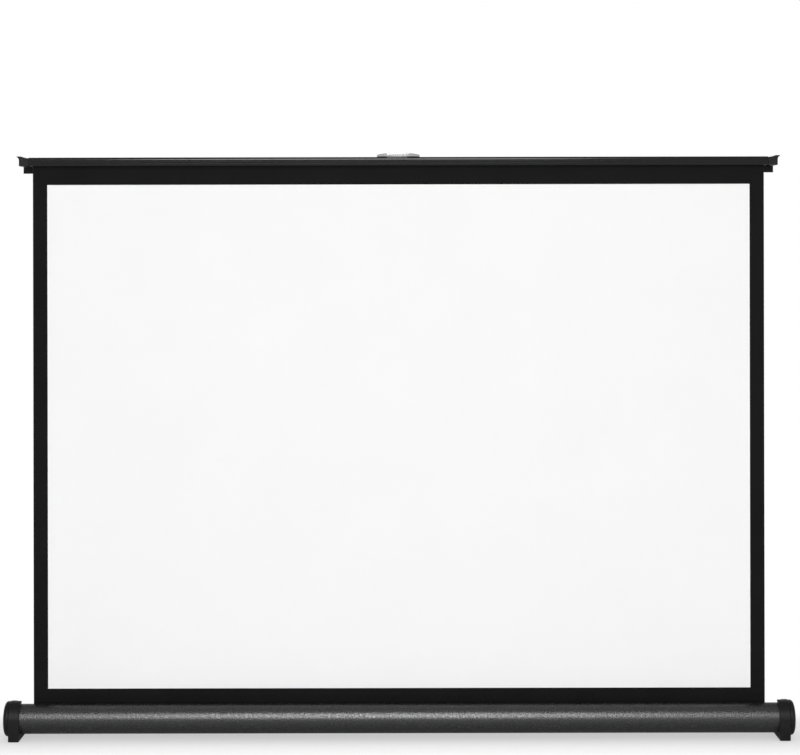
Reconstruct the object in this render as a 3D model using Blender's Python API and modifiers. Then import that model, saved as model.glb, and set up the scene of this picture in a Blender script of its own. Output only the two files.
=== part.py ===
"""Tabletop projection screen that is pulled up out of a round-fronted tube.

A scissor lattice behind the fabric carries the top bar. A spring roller in the tube winds
the fabric in as the bar comes down. The solids stand at rest with the screen raised.
X runs along the tube, -Y is the viewing side and +Z is up. Lengths are in metres.
"""

import math

import bpy
import bmesh
from mathutils import Vector

# Clearances
GAP = 0.0003
PIN_CLEARANCE = 0.0003
FOLD_GAP = 0.0005
SEAT_GAP = 0.0005

# Fabric
VIEW_WIDTH = 0.813
VIEW_HEIGHT = 0.583
SIDE_BORDER = 0.01675
TOP_BORDER = 0.0217
BOTTOM_BORDER = 0.016
FABRIC_THICKNESS = 0.0003

# Housing: a rolled front half, a flat floor, a partition and a low rear wall
TUBE_RADIUS = 0.0172
TUBE_LIFT = 0.006
WALL = 0.0015
LIP_RETURN = 0.0005
ROLLER_BAY = 0.013
RIB_THICKNESS = 0.0012
RIB_HEIGHT = 0.017
REAR_CORNER = 0.003
TUBE_END_MARGIN = 0.01275

# End caps, cover discs and rubber pads
CAP_WIDTH = 0.0121
CAP_PROUD = 0.0034
CAP_REAR_WALL = 0.0025
CAP_SHOULDER = 0.005
CAP_REAR_RISE = 0.0045
FOOT_DEPTH = 0.080
FOOT_CLEAR = 0.0005
HEEL_HEIGHT = 0.007
HEEL_HOLLOW = 0.008
HEEL_NOSE = 0.004
DISC_RADIUS = 0.020
DISC_THICKNESS = 0.0063
DISC_EDGE = 0.0035
PAD_LENGTH = 0.016
PAD_WIDTH = 0.0085
PAD_THICKNESS = 0.0013
PAD_INSET = 0.003

# Spring roller
ROLLER_RADIUS = 0.0082
ROLLER_WALL = 0.0012
ROLLER_MARGIN = 0.002
ROLLER_FORWARD = 0.003
ROLLER_DROP = 0.001
WRAP_THICKNESS = 0.0009
PLUG_DEPTH = 0.018
PLUG_FLANGE = 0.0025
PLUG_PIN_RADIUS = 0.003
ROD_RADIUS = 0.0025
ROD_COLLAR_RADIUS = 0.0055
ROD_COLLAR = 0.006
BEARING_RADIUS = 0.008
BEARING_THICKNESS = 0.0027
SPRING_RADIUS = 0.0048
SPRING_WIRE_RADIUS = 0.0008
SPRING_PITCH = 0.008
SPRING_TURNS = 20

# Scissor lattice
RAISED_ANGLE = math.radians(60)
ARM_WIDTH = 0.009
ARM_THICKNESS = 0.002
PIN_RADIUS = 0.002
HEAD_RADIUS = 0.0034
HEAD_THICKNESS = 0.0012
HEAD_SPACE = 0.0022
REAR_SPACE = 0.0017
WASHER_RADIUS = 0.0042
WASHER_THICKNESS = 0.0004
SPACER_RADIUS = 0.0035
BUSH_RADIUS = 0.0035
SLIDE_HEAD_RADIUS = 0.0043
PIVOT_RISE = 0.0064
PIVOT_DROP = 0.0114
RAIL_WALL = 0.0015
RAIL_WEB = 0.005
RAIL_FLANGE = 0.0036
RAIL_END = 0.012

# Top bar, its end pieces and the strip that holds the fabric
BAR_FRONT_GAP = 0.0007
BAR_OVERHANG = 0.001
BAR_OVERLAP = 0.0025
BAR_PLATE = 0.002
BAR_EDGE = 0.003
SKIRT_WALL = 0.0018
FRONT_SKIRT = 0.010
REAR_SKIRT = 0.0175
GROOVE = 0.0005
UPPER_GROOVE_DROP = 0.0041
LOWER_GROOVE_DROP = 0.0067
END_WIDTH = 0.0107
END_LIP = 0.0026
END_DIP = 0.0006
END_RISE = 0.0013
END_LIP_EDGE = 0.001
END_DIP_SHARE = 0.3
END_RISE_SHARE = 0.68
END_UNDERCUT = 0.004
SPIGOT_CLEAR = 0.0006
NOTCH_GAP = 0.0005
STRIP_HEIGHT = 0.006

# Handle
HANDLE_LENGTH = 0.050
HANDLE_RIM = 0.0016
HANDLE_CLEAR = 0.001
HANDLE_RISE_END = 0.003
HANDLE_RISE_MIDDLE = 0.0052
HANDLE_SINK = 0.0072
HANDLE_POWER = 3
WELL_WALL = 0.0015
WELL_WAIST = 0.0036

# How finely round outlines are divided
ARC_STEPS = 12
CORNER_STEPS = 6
SMALL_STEPS = 16
ROUND_STEPS = 32
CURL_POINTS = 9
OVER = 0.005

# Places that follow from the sizes above. Depths (names in _Y) count from the tube's centre line.
CAP_RADIUS = TUBE_RADIUS + CAP_PROUD
TUBE_Y = CAP_RADIUS - FOOT_DEPTH / 2
TUBE_Z = TUBE_LIFT + TUBE_RADIUS
TUBE_TOP = TUBE_Z + TUBE_RADIUS
FLOOR_Z = TUBE_LIFT + WALL
CAP_TOP = TUBE_Z + CAP_RADIUS
FABRIC_WIDTH = VIEW_WIDTH + 2 * SIDE_BORDER
TUBE_HALF = FABRIC_WIDTH / 2 + TUBE_END_MARGIN
CAP_END = TUBE_HALF + CAP_WIDTH
POCKET_END = TUBE_HALF + BAR_OVERLAP + END_LIP + NOTCH_GAP
HOUSING_HALF = POCKET_END - GAP

FRONT_ARM_Y = ROLLER_BAY + RIB_THICKNESS + HEAD_SPACE + HEAD_THICKNESS + GAP
REAR_ARM_Y = FRONT_ARM_Y + ARM_THICKNESS + WASHER_THICKNESS + 2 * GAP
WEB_Y = REAR_ARM_Y + ARM_THICKNESS + HEAD_THICKNESS + 2 * GAP
TAIL_Y = WEB_Y + RAIL_WALL + GAP
REAR_INNER_Y = TAIL_Y + HEAD_THICKNESS + REAR_SPACE
REAR_OUTER_Y = REAR_INNER_Y + WALL
CAP_REAR_Y = REAR_OUTER_Y + CAP_REAR_WALL
CORNER_CENTRE = (REAR_OUTER_Y - REAR_CORNER, TUBE_LIFT + REAR_CORNER)

LOWER_PIVOT_Z = FLOOR_Z + PIVOT_RISE
BAR_TOP = TUBE_TOP + BOTTOM_BORDER + VIEW_HEIGHT + TOP_BORDER + FRONT_SKIRT
UPPER_PIVOT_Z = BAR_TOP - PIVOT_DROP
STAGE = (UPPER_PIVOT_Z - LOWER_PIVOT_Z) / 2
PIVOT_LENGTH = STAGE / math.sin(RAISED_ANGLE)
SPREAD = PIVOT_LENGTH * math.cos(RAISED_ANGLE)
LEFT_X = -SPREAD / 2
RIGHT_X = SPREAD / 2
FOLD_STEP = ARM_WIDTH + FOLD_GAP
FOLDED_RIGHT_X = LEFT_X + math.sqrt(PIVOT_LENGTH**2 - FOLD_STEP**2)
TRAVEL = 2 * (STAGE - FOLD_STEP)
REAR_WALL_TOP = BAR_TOP - TRAVEL - REAR_SKIRT - SEAT_GAP
HOLE_RADIUS = PIN_RADIUS + PIN_CLEARANCE

BAR_FRONT_Y = LIP_RETURN + BAR_FRONT_GAP
BAR_REAR_Y = REAR_OUTER_Y + BAR_OVERHANG
BAR_HALF = TUBE_HALF + BAR_OVERLAP
END_INNER = BAR_HALF - END_WIDTH
ROLLER_Z = TUBE_Z - ROLLER_DROP
WRAP_RADIUS = ROLLER_RADIUS + GAP + WRAP_THICKNESS
BACKING_Y = WRAP_RADIUS - ROLLER_FORWARD + GAP
BACKING_REAR_Y = BACKING_Y + FABRIC_THICKNESS
VIEW_Y = BACKING_Y - GAP - FABRIC_THICKNESS
STRIP_TOP = BAR_TOP - BAR_PLATE - GAP
VIEW_BOTTOM = TUBE_TOP + BOTTOM_BORDER
ROLLER_HALF = FABRIC_WIDTH / 2 + ROLLER_MARGIN
FLANGE_END = ROLLER_HALF + GAP + PLUG_FLANGE
BEARING_END = POCKET_END - GAP
SUNK_FRONT_Y = BACKING_REAR_Y + HANDLE_CLEAR
SUNK_REAR_Y = WEB_Y - HANDLE_CLEAR

# Which way an outline stands: its own x, y and depth become the world axes named here
ALONG_X = (math.pi / 2, 0, math.pi / 2)
ALONG_Y = (math.pi / 2, 0, 0)
ALONG_Z = (0, 0, 0)
TURN_ALONG_X = (0, math.pi / 2, 0)
TURN_ALONG_Y = (-math.pi / 2, 0, 0)

for leftover in list(bpy.data.objects):
    bpy.data.objects.remove(leftover)

PARTS = bpy.data.collections.new("tabletop_projection_screen")
CUTTERS = bpy.data.collections.new("cutters")
bpy.context.scene.collection.children.link(PARTS)
bpy.context.scene.collection.children.link(CUTTERS)


def finish(name, colour, roughness, metallic):
    """A plain material in the piece's colour."""
    material = bpy.data.materials.new(name)
    material.use_nodes = True
    shader = material.node_tree.nodes["Principled BSDF"]
    shader.inputs["Base Color"].default_value = (*colour, 1)
    shader.inputs["Roughness"].default_value = roughness
    shader.inputs["Metallic"].default_value = metallic
    return material


POWDER_COAT = finish("black_powder_coat", (0.035, 0.036, 0.038), 0.55, 0.0)
CAP_PLASTIC = finish("black_cap_plastic", (0.018, 0.018, 0.019), 0.5, 0.0)
WHITE_FABRIC = finish("white_screen_fabric", (0.9, 0.9, 0.9), 0.85, 0.0)
BLACK_FABRIC = finish("black_screen_fabric", (0.03, 0.03, 0.032), 0.85, 0.0)
ARM_STEEL = finish("dark_arm_steel", (0.06, 0.06, 0.065), 0.4, 0.6)
BRIGHT_STEEL = finish("bright_pin_steel", (0.6, 0.6, 0.62), 0.3, 1.0)
SILVER = finish("silver_handle", (0.78, 0.78, 0.79), 0.22, 1.0)
ROLLER_METAL = finish("roller_aluminium", (0.66, 0.66, 0.68), 0.4, 1.0)
NYLON = finish("nylon", (0.75, 0.74, 0.7), 0.6, 0.0)
RUBBER = finish("foot_rubber", (0.02, 0.02, 0.02), 0.9, 0.0)


def spot(x, depth, z):
    """A point of the rest pose, its depth counted from the tube's centre line."""
    return Vector((x, TUBE_Y + depth, z))


def rest_point(obj):
    """Where an unturned object stands, through all its parents."""
    point = Vector()
    while obj:
        point += obj.location
        obj = obj.parent
    return point


def attach(obj, parent, at):
    obj.parent = parent
    obj.location = at - rest_point(parent)


def pivot(name, parent, at):
    """An empty on a joint's axis, which carries the pieces of one moving body."""
    empty = bpy.data.objects.new(name, None)
    empty.empty_display_size = TUBE_RADIUS
    PARTS.objects.link(empty)
    attach(empty, parent, at)
    return empty


def settle(obj, material, carrier, at, rotation):
    """Puts a new piece in its place, or a cutter if it has no material."""
    home = PARTS if material else CUTTERS
    home.objects.link(obj)
    if material:
        obj.data.materials.append(material)
    else:
        obj.hide_render = True
        obj.display_type = "WIRE"
    attach(obj, carrier, at)
    obj.rotation_euler = rotation
    return obj


def arc(centre, radius, start, end, steps=ARC_STEPS):
    """Points along a circular arc, both ends included, between two angles in degrees."""
    points = []
    for i in range(steps + 1):
        angle = math.radians(start + (end - start) * i / steps)
        points.append((centre[0] + radius * math.cos(angle), centre[1] + radius * math.sin(angle)))
    return points


def circle(centre, radius, steps=SMALL_STEPS):
    return arc(centre, radius, 0, 360, steps)[:-1]


def oval(half_x, half_y, power, centre=(0, 0), steps=ROUND_STEPS):
    """An ellipse at power 2, squarer above it."""
    points = []
    for i in range(steps):
        c = math.cos(2 * math.pi * i / steps)
        s = math.sin(2 * math.pi * i / steps)
        x = half_x * math.copysign(abs(c) ** (2 / power), c)
        y = half_y * math.copysign(abs(s) ** (2 / power), s)
        points.append((centre[0] + x, centre[1] + y))
    return points


def round_ended(start, end, radius):
    """The outline of a level slot or bar between two centres."""
    return arc(end, radius, -90, 90) + arc(start, radius, 90, 270)


def extruded(name, outlines, depth, material, carrier, at, rotation):
    """A flat outline with its holes, given a depth that is centred on the outline's plane."""
    curve = bpy.data.curves.new(name, "CURVE")
    curve.dimensions = "2D"
    curve.fill_mode = "BOTH"
    curve.extrude = depth / 2
    for outline in outlines:
        spline = curve.splines.new("POLY")
        spline.points.add(len(outline) - 1)
        for point, (x, y) in zip(spline.points, outline):
            point.co = (x, y, 0, 1)
        spline.use_cyclic_u = True
    flat = bpy.data.objects.new(name, curve)
    CUTTERS.objects.link(flat)
    graph = bpy.context.evaluated_depsgraph_get()
    mesh = bpy.data.meshes.new_from_object(flat.evaluated_get(graph))
    bpy.data.objects.remove(flat)
    bpy.data.curves.remove(curve)
    weld = bmesh.new()
    weld.from_mesh(mesh)
    bmesh.ops.remove_doubles(weld, verts=weld.verts, dist=GAP / 100)
    weld.to_mesh(mesh)
    weld.free()
    mesh.name = name
    return settle(bpy.data.objects.new(name, mesh), material, carrier, at, rotation)


def turned(name, profile, material, carrier, at, rotation, closed=False, steps=SMALL_STEPS):
    """A profile of (radius, height) points, listed down its outer side, turned a full circle."""
    mesh = bpy.data.meshes.new(name)
    edges = [(i, i + 1) for i in range(len(profile) - 1)]
    if closed:
        edges.append((len(profile) - 1, 0))
    mesh.from_pydata([(radius, 0, height) for radius, height in profile], edges, [])
    obj = settle(bpy.data.objects.new(name, mesh), material, carrier, at, rotation)
    screw = obj.modifiers.new("turn", "SCREW")
    screw.steps = steps
    screw.render_steps = steps
    screw.use_merge_vertices = True
    screw.merge_threshold = GAP / 100
    screw.use_smooth_shade = False
    return obj


def ring(name, outer, inner, low, high, material, carrier, at, rotation, steps=SMALL_STEPS):
    profile = [(outer, high), (outer, low), (inner, low), (inner, high)]
    return turned(name, profile, material, carrier, at, rotation, True, steps)


def box(name, size, material, carrier, at):
    mesh = bpy.data.meshes.new(name)
    cube = bmesh.new()
    bmesh.ops.create_cube(cube, size=1)
    bmesh.ops.scale(cube, vec=size, verts=cube.verts)
    cube.to_mesh(mesh)
    cube.free()
    return settle(bpy.data.objects.new(name, mesh), material, carrier, at, ALONG_Z)


def combine(obj, other, operation):
    modifier = obj.modifiers.new(other.name, "BOOLEAN")
    modifier.operation = operation
    modifier.object = other


def side_name(name, side):
    return name + ("_left" if side < 0 else "_right")


def housing_outline(grow):
    """The tube's outer path from its top round the front to its rear wall."""
    path = arc((0, TUBE_Z), TUBE_RADIUS + grow, 90, 270, ROUND_STEPS)
    path += arc(CORNER_CENTRE, REAR_CORNER + grow, -90, 0, CORNER_STEPS)
    return path


def make_housing(base):
    """An extrusion with a partition between the roller and the scissor arms."""
    rib_front = ROLLER_BAY
    rib_rear = ROLLER_BAY + RIB_THICKNESS
    rib_top = FLOOR_Z + RIB_HEIGHT
    outline = [(LIP_RETURN, TUBE_TOP)] + housing_outline(0)
    outline += [(REAR_OUTER_Y, REAR_WALL_TOP), (REAR_INNER_Y, REAR_WALL_TOP)]
    outline += arc(CORNER_CENTRE, REAR_CORNER - WALL, 0, -90, CORNER_STEPS)
    outline += [(rib_rear, FLOOR_Z), (rib_rear, rib_top), (rib_front, rib_top), (rib_front, FLOOR_Z)]
    outline += arc((0, TUBE_Z), TUBE_RADIUS - WALL, 270, 90, ROUND_STEPS)
    outline += [(LIP_RETURN, TUBE_TOP - WALL)]
    extruded("housing", [outline], 2 * HOUSING_HALF, POWDER_COAT, base, spot(0, 0, 0), ALONG_X)


def cap_outline():
    """The cap from the side: round over the tube, falling to its rear wall, with a heel behind it."""
    heel_end = FOOT_DEPTH - CAP_RADIUS
    shoulder = (CAP_REAR_Y - CAP_SHOULDER, REAR_WALL_TOP + CAP_REAR_RISE - CAP_SHOULDER)
    hollow = (CAP_REAR_Y + HEEL_HOLLOW, HEEL_HEIGHT + HEEL_HOLLOW)
    nose = (heel_end - HEEL_NOSE, HEEL_HEIGHT - HEEL_NOSE)
    apart = Vector((shoulder[0], shoulder[1] - TUBE_Z))
    rise = math.atan2(apart.y, apart.x)
    fall = math.degrees(rise + math.acos((CAP_RADIUS - CAP_SHOULDER) / apart.length))
    outline = [(-CAP_RADIUS, FOOT_CLEAR)]
    outline += arc((0, TUBE_Z), CAP_RADIUS, 180, fall)
    outline += arc(shoulder, CAP_SHOULDER, fall, 0, CORNER_STEPS)
    outline += arc(hollow, HEEL_HOLLOW, 180, 270)
    outline += arc(nose, HEEL_NOSE, 90, 0)
    outline += [(heel_end, FOOT_CLEAR)]
    return outline


def pocket_outline():
    """The room in a cap for the tube's end and for the folded bar's end."""
    beyond = CAP_REAR_Y + OVER
    above = CAP_TOP + OVER
    outline = housing_outline(GAP)
    outline += [(REAR_OUTER_Y + GAP, REAR_WALL_TOP), (beyond, REAR_WALL_TOP), (beyond, above)]
    outline += [(LIP_RETURN, above), (LIP_RETURN, TUBE_TOP + GAP)]
    return outline


def make_end(base, side):
    """One end of the base: cap, cover disc and two rubber pads."""
    middle = side * (TUBE_HALF + CAP_END) / 2
    cap = extruded(
        side_name("end_cap", side), [cap_outline()], CAP_WIDTH, CAP_PLASTIC, base, spot(middle, 0, 0), ALONG_X
    )
    pocket_middle = side * (POCKET_END + TUBE_HALF - OVER) / 2
    pocket_depth = POCKET_END - TUBE_HALF + OVER
    pocket = extruded(
        side_name("cap_pocket", side),
        [pocket_outline()],
        pocket_depth,
        None,
        base,
        spot(pocket_middle, 0, 0),
        ALONG_X,
    )
    combine(cap, pocket, "DIFFERENCE")
    front_pad = PAD_INSET + PAD_LENGTH / 2 - CAP_RADIUS
    rear_pad = FOOT_DEPTH - CAP_RADIUS - PAD_INSET - PAD_LENGTH / 2
    for place, depth in (("front", front_pad), ("rear", rear_pad)):
        name = side_name("foot_pad_" + place, side)
        pad_at = spot(middle, depth, PAD_THICKNESS / 2)
        box(name, (PAD_WIDTH, PAD_LENGTH, PAD_THICKNESS), RUBBER, base, pad_at)
        recess_size = (PAD_WIDTH + 2 * GAP, PAD_LENGTH + 2 * GAP, PAD_THICKNESS + 2 * GAP)
        recess = box(name + "_recess", recess_size, None, base, pad_at)
        combine(cap, recess, "DIFFERENCE")
    rim = (DISC_RADIUS - DISC_EDGE, DISC_THICKNESS - DISC_EDGE)
    profile = [(0, DISC_THICKNESS)] + arc(rim, DISC_EDGE, 90, 0, CORNER_STEPS)
    profile += [(DISC_RADIUS, GAP), (0, GAP)]
    facing = (0, side * math.pi / 2, 0)
    turned(
        side_name("end_disc", side),
        profile,
        CAP_PLASTIC,
        base,
        spot(side * CAP_END, 0, TUBE_Z),
        facing,
        steps=ROUND_STEPS,
    )


def make_roller(base, roller):
    """Tube, plugs, the turns of fabric left on it, and the spring on its fixed rod."""
    axis = spot(0, -ROLLER_FORWARD, ROLLER_Z)
    bore = ROLLER_RADIUS - ROLLER_WALL
    ring(
        "roller_tube", ROLLER_RADIUS, bore, -ROLLER_HALF, ROLLER_HALF, ROLLER_METAL, roller, axis, TURN_ALONG_X
    )
    half = FABRIC_WIDTH / 2
    ring("fabric_wraps", WRAP_RADIUS, ROLLER_RADIUS + GAP, -half, half, BLACK_FABRIC, roller, axis, TURN_ALONG_X)
    body = bore - GAP
    seat = ROLLER_HALF + GAP
    inner = ROLLER_HALF - PLUG_DEPTH
    pin_end = BEARING_END - GAP
    right = [(0, pin_end), (PLUG_PIN_RADIUS, pin_end), (PLUG_PIN_RADIUS, FLANGE_END)]
    right += [(ROLLER_RADIUS, FLANGE_END), (ROLLER_RADIUS, seat), (body, seat), (body, inner), (0, inner)]
    turned("roller_plug_right", right, NYLON, roller, axis, TURN_ALONG_X)
    hole = ROD_RADIUS + PIN_CLEARANCE
    left = [(body, -inner), (body, -seat), (ROLLER_RADIUS, -seat), (ROLLER_RADIUS, -FLANGE_END)]
    left += [(hole, -FLANGE_END), (hole, -inner)]
    turned("roller_plug_left", left, NYLON, roller, axis, TURN_ALONG_X, True)
    low = BEARING_END - BEARING_THICKNESS
    pin_hole = PLUG_PIN_RADIUS + PIN_CLEARANCE
    ring("roller_bearing_right", BEARING_RADIUS, pin_hole, low, BEARING_END, NYLON, base, axis, TURN_ALONG_X)
    ring("roller_bearing_left", BEARING_RADIUS, hole, -BEARING_END, -low, NYLON, base, axis, TURN_ALONG_X)
    spring_start = -inner + GAP + SPRING_WIRE_RADIUS
    spring_end = spring_start + SPRING_TURNS * SPRING_PITCH
    collar = spring_end + SPRING_WIRE_RADIUS + GAP
    rod = [(0, collar + ROD_COLLAR), (ROD_COLLAR_RADIUS, collar + ROD_COLLAR), (ROD_COLLAR_RADIUS, collar)]
    rod += [(ROD_RADIUS, collar), (ROD_RADIUS, -BEARING_END), (0, -BEARING_END)]
    turned("spring_rod", rod, BRIGHT_STEEL, base, axis, TURN_ALONG_X)
    make_spring(roller, axis, spring_start)


def make_spring(roller, axis, start):
    """The torsion spring: one open helix about the rod."""
    count = SPRING_TURNS * CURL_POINTS
    curve = bpy.data.curves.new("roller_spring", "CURVE")
    curve.dimensions = "3D"
    curve.bevel_depth = SPRING_WIRE_RADIUS
    curve.bevel_resolution = 1
    curve.use_fill_caps = True
    spline = curve.splines.new("POLY")
    spline.points.add(count)
    for i, point in enumerate(spline.points):
        angle = 2 * math.pi * i / CURL_POINTS
        along = start + SPRING_PITCH * i / CURL_POINTS
        point.co = (along, SPRING_RADIUS * math.cos(angle), SPRING_RADIUS * math.sin(angle), 1)
    spring = bpy.data.objects.new("roller_spring", curve)
    settle(spring, BRIGHT_STEEL, roller, axis, ALONG_Z)
    middles = [point.co.to_3d() for point in spline.points]
    apart = [(a - b).length for i, a in enumerate(middles) for b in middles[i + CURL_POINTS // 2 :]]
    print("least gap between the spring's turns:", min(apart) - 2 * SPRING_WIRE_RADIUS)


def make_fabric(base):
    """The black backing from the roller up into the bar, and the white layer on its front."""
    height = STRIP_TOP - ROLLER_Z
    backing_at = spot(0, BACKING_Y + FABRIC_THICKNESS / 2, ROLLER_Z + height / 2)
    box("screen_backing", (FABRIC_WIDTH, FABRIC_THICKNESS, height), BLACK_FABRIC, base, backing_at)
    view_at = spot(0, VIEW_Y + FABRIC_THICKNESS / 2, VIEW_BOTTOM + VIEW_HEIGHT / 2)
    box("viewing_surface", (VIEW_WIDTH, FABRIC_THICKNESS, VIEW_HEIGHT), WHITE_FABRIC, base, view_at)


def make_rail(name, carrier, pivot_x, pivot_z, flange_up):
    """A steel angle with the lattice's fixed pivot hole and the slot for its sliding end."""
    sign = 1 if flange_up else -1
    reach = PIVOT_DROP - BAR_PLATE - GAP if flange_up else PIVOT_RISE - GAP
    flange = sign * reach
    flange_inner = sign * (reach - RAIL_WALL)
    free = -sign * RAIL_WEB
    outline = [(0, free), (0, flange), (RAIL_FLANGE, flange), (RAIL_FLANGE, flange_inner)]
    outline += [(RAIL_WALL, flange_inner), (RAIL_WALL, free)]
    start = LEFT_X - RAIL_END
    end = FOLDED_RIGHT_X + RAIL_END
    rail_at = spot((start + end) / 2, WEB_Y, pivot_z)
    rail = extruded(name, [outline], end - start, ARM_STEEL, carrier, rail_at, ALONG_X)
    slot = round_ended((RIGHT_X, 0), (FOLDED_RIGHT_X, 0), BUSH_RADIUS + PIN_CLEARANCE)
    hole = circle((pivot_x, 0), HOLE_RADIUS)
    cut_at = spot(0, WEB_Y + RAIL_WALL / 2, pivot_z)
    for label, outline in (("_slot", slot), ("_hole", hole)):
        cutter = extruded(name + label, [outline], RAIL_WALL + OVER, None, carrier, cut_at, ALONG_Y)
        combine(rail, cutter, "DIFFERENCE")


def make_arm(name, carrier, depth, joint_along, at, rising):
    """One bar with round ends and three holes. joint_along is where its joint lies on its length."""
    half = PIVOT_LENGTH / 2
    outline = round_ended((-half - joint_along, 0), (half - joint_along, 0), ARM_WIDTH / 2)
    holes = [circle((along - joint_along, 0), HOLE_RADIUS) for along in (-half, 0, half)]
    tilt = RAISED_ANGLE if rising else -RAISED_ANGLE
    place = spot(at[0], depth + ARM_THICKNESS / 2, at[1])
    turned_up = (math.pi / 2, -tilt, 0)
    extruded(name, [outline] + holes, ARM_THICKNESS, ARM_STEEL, carrier, place, turned_up)


def make_pin(name, carrier, x, z, front, rear, tail_radius=HEAD_RADIUS):
    """A headed pin from the front face of its head to the start of its riveted tail."""
    tail = rear + HEAD_THICKNESS
    neck = front + HEAD_THICKNESS
    profile = [(0, tail), (tail_radius, tail), (tail_radius, rear), (PIN_RADIUS, rear)]
    profile += [(PIN_RADIUS, neck), (HEAD_RADIUS, neck), (HEAD_RADIUS, front), (0, front)]
    turned(name, profile, BRIGHT_STEEL, carrier, spot(x, 0, z), TURN_ALONG_Y)


def make_collar(name, carrier, x, z, radius, front, rear):
    """A nylon washer, spacer or bush round a pin."""
    ring(name, radius, HOLE_RADIUS, front, rear, NYLON, carrier, spot(x, 0, z), TURN_ALONG_Y)


def make_lattice(base):
    """Four arms in two layers, each hung on the one before it, and the pins between them."""
    middle_z = LOWER_PIVOT_Z + STAGE
    lower_centre = (0, LOWER_PIVOT_Z + STAGE / 2)
    upper_centre = (0, middle_z + STAGE / 2)
    half = PIVOT_LENGTH / 2
    arm_a1 = pivot("arm_a1_pivot", base, spot(LEFT_X, FRONT_ARM_Y, LOWER_PIVOT_Z))
    arm_b1 = pivot("arm_b1_pivot", arm_a1, spot(lower_centre[0], FRONT_ARM_Y, lower_centre[1]))
    arm_a2 = pivot("arm_a2_pivot", arm_b1, spot(LEFT_X, FRONT_ARM_Y, middle_z))
    arm_b2 = pivot("arm_b2_pivot", arm_a2, spot(upper_centre[0], FRONT_ARM_Y, upper_centre[1]))
    bar = pivot("top_bar_pivot", arm_b2, spot(LEFT_X, FRONT_ARM_Y, UPPER_PIVOT_Z))
    make_arm("arm_a1", arm_a1, FRONT_ARM_Y, -half, (LEFT_X, LOWER_PIVOT_Z), True)
    make_arm("arm_b1", arm_b1, REAR_ARM_Y, 0, lower_centre, False)
    make_arm("arm_a2", arm_a2, FRONT_ARM_Y, -half, (LEFT_X, middle_z), True)
    make_arm("arm_b2", arm_b2, REAR_ARM_Y, 0, upper_centre, False)
    front_head = FRONT_ARM_Y - GAP - HEAD_THICKNESS
    inner_head = REAR_ARM_Y - GAP - HEAD_THICKNESS
    arm_tail = REAR_ARM_Y + ARM_THICKNESS + GAP
    washer = FRONT_ARM_Y + ARM_THICKNESS + GAP
    crossings = (
        ("lower_centre", arm_a1, *lower_centre),
        ("left_elbow", arm_b1, LEFT_X, middle_z),
        ("right_elbow", arm_a1, RIGHT_X, middle_z),
        ("upper_centre", arm_a2, *upper_centre),
    )
    for name, carrier, x, z in crossings:
        make_pin(name + "_pin", carrier, x, z, front_head, arm_tail)
        make_collar(name + "_washer", carrier, x, z, WASHER_RADIUS, washer, washer + WASHER_THICKNESS)
    bush_front = WEB_Y - GAP
    bush_rear = WEB_Y + RAIL_WALL + GAP
    slide_tail = bush_rear + GAP
    make_pin("lower_pivot_pin", base, LEFT_X, LOWER_PIVOT_Z, front_head, TAIL_Y)
    make_collar("lower_pivot_spacer", base, LEFT_X, LOWER_PIVOT_Z, SPACER_RADIUS, washer, WEB_Y - GAP)
    make_pin("lower_slide_pin", arm_b1, RIGHT_X, LOWER_PIVOT_Z, inner_head, slide_tail, SLIDE_HEAD_RADIUS)
    make_collar("lower_slide_bush", arm_b1, RIGHT_X, LOWER_PIVOT_Z, BUSH_RADIUS, arm_tail, bush_rear)
    make_pin("upper_slide_pin", arm_a2, RIGHT_X, UPPER_PIVOT_Z, front_head, slide_tail, SLIDE_HEAD_RADIUS)
    make_collar("upper_slide_spacer", arm_a2, RIGHT_X, UPPER_PIVOT_Z, SPACER_RADIUS, washer, bush_front - GAP)
    make_collar("upper_slide_bush", arm_a2, RIGHT_X, UPPER_PIVOT_Z, BUSH_RADIUS, bush_front, bush_rear)
    make_pin("upper_pivot_pin", bar, LEFT_X, UPPER_PIVOT_Z, inner_head, TAIL_Y)
    make_rail("lower_rail", base, LEFT_X, LOWER_PIVOT_Z, False)
    make_rail("upper_rail", bar, LEFT_X, UPPER_PIVOT_Z, True)
    return bar


def bar_outline():
    """The bar's section below its top face: an upside-down channel with two grooves in its front."""
    inner_front = BAR_FRONT_Y + SKIRT_WALL
    inner_rear = BAR_REAR_Y - SKIRT_WALL
    outline = [(BAR_FRONT_Y, -FRONT_SKIRT)]
    for drop in (LOWER_GROOVE_DROP, UPPER_GROOVE_DROP):
        low = -drop - GROOVE / 2
        high = -drop + GROOVE / 2
        outline += [(BAR_FRONT_Y, low), (BAR_FRONT_Y + GROOVE, low)]
        outline += [(BAR_FRONT_Y + GROOVE, high), (BAR_FRONT_Y, high)]
    outline += arc((BAR_FRONT_Y + BAR_EDGE, -BAR_EDGE), BAR_EDGE, 180, 90, CORNER_STEPS)
    outline += arc((BAR_REAR_Y - BAR_EDGE, -BAR_EDGE), BAR_EDGE, 90, 0, CORNER_STEPS)
    outline += [(BAR_REAR_Y, -REAR_SKIRT), (inner_rear, -REAR_SKIRT), (inner_rear, -BAR_PLATE)]
    outline += [(inner_front, -BAR_PLATE), (inner_front, -FRONT_SKIRT)]
    return outline


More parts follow.
